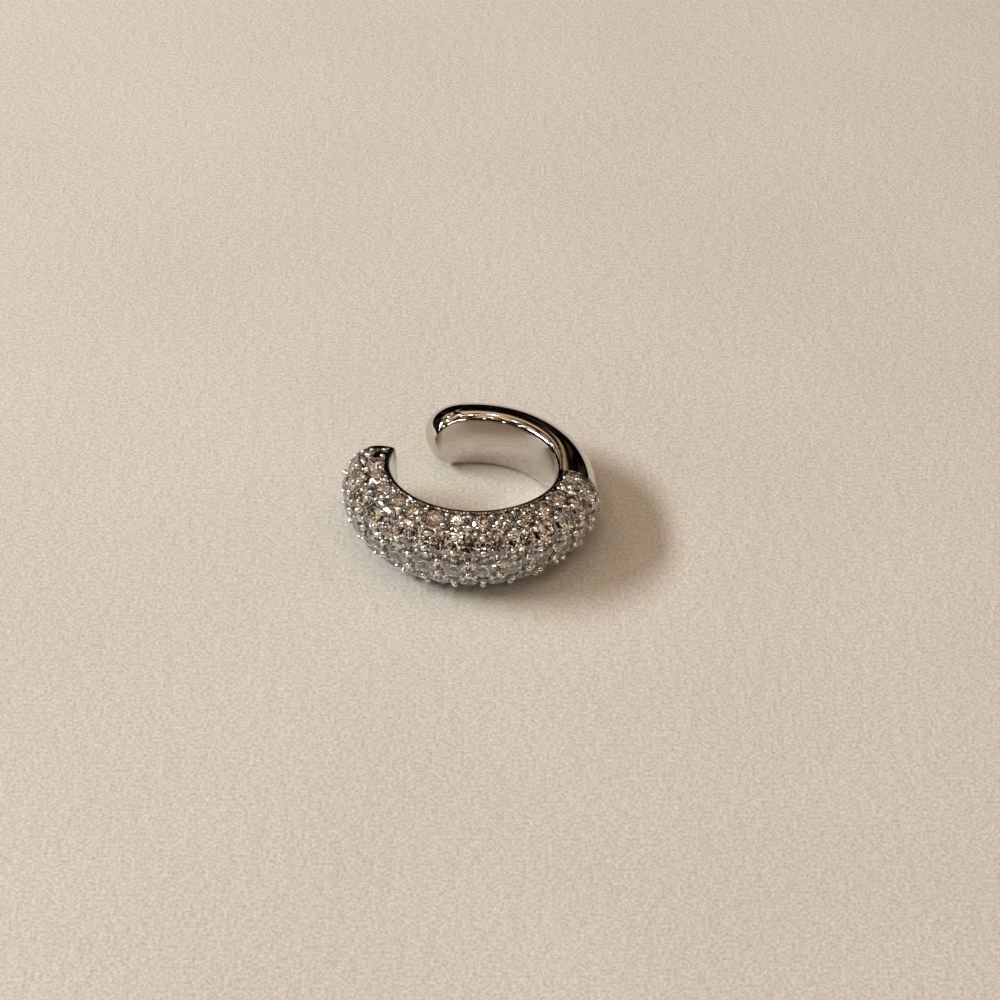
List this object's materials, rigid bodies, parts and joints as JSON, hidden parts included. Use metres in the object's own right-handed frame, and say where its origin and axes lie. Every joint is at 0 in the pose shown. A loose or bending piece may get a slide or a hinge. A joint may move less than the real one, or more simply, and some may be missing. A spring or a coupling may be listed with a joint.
{
  "type": "ear cuff",
  "caption": "Open hoop ear cuff with a polished rounded band and a domed front closely set with small clear cut stones.",
  "frame": {"origin": "middle of the cuff's outline seen from above, on the plane that its lower edge rests on", "axes": "+Z is the axis of the hoop, up from the surface that the cuff lies on; the middle of the stones faces -Y and the opening faces between -X and +Y"},
  "size_m": [0.0122, 0.012, 0.0038],
  "materials": {
    "polished_metal": "polished",
    "pave": "polished",
    "stones": "polished"
  },
  "bodies": {
    "root": {"cuff_band": "polished_metal", "pave_head": "pave"}
  },
  "joints": []
}
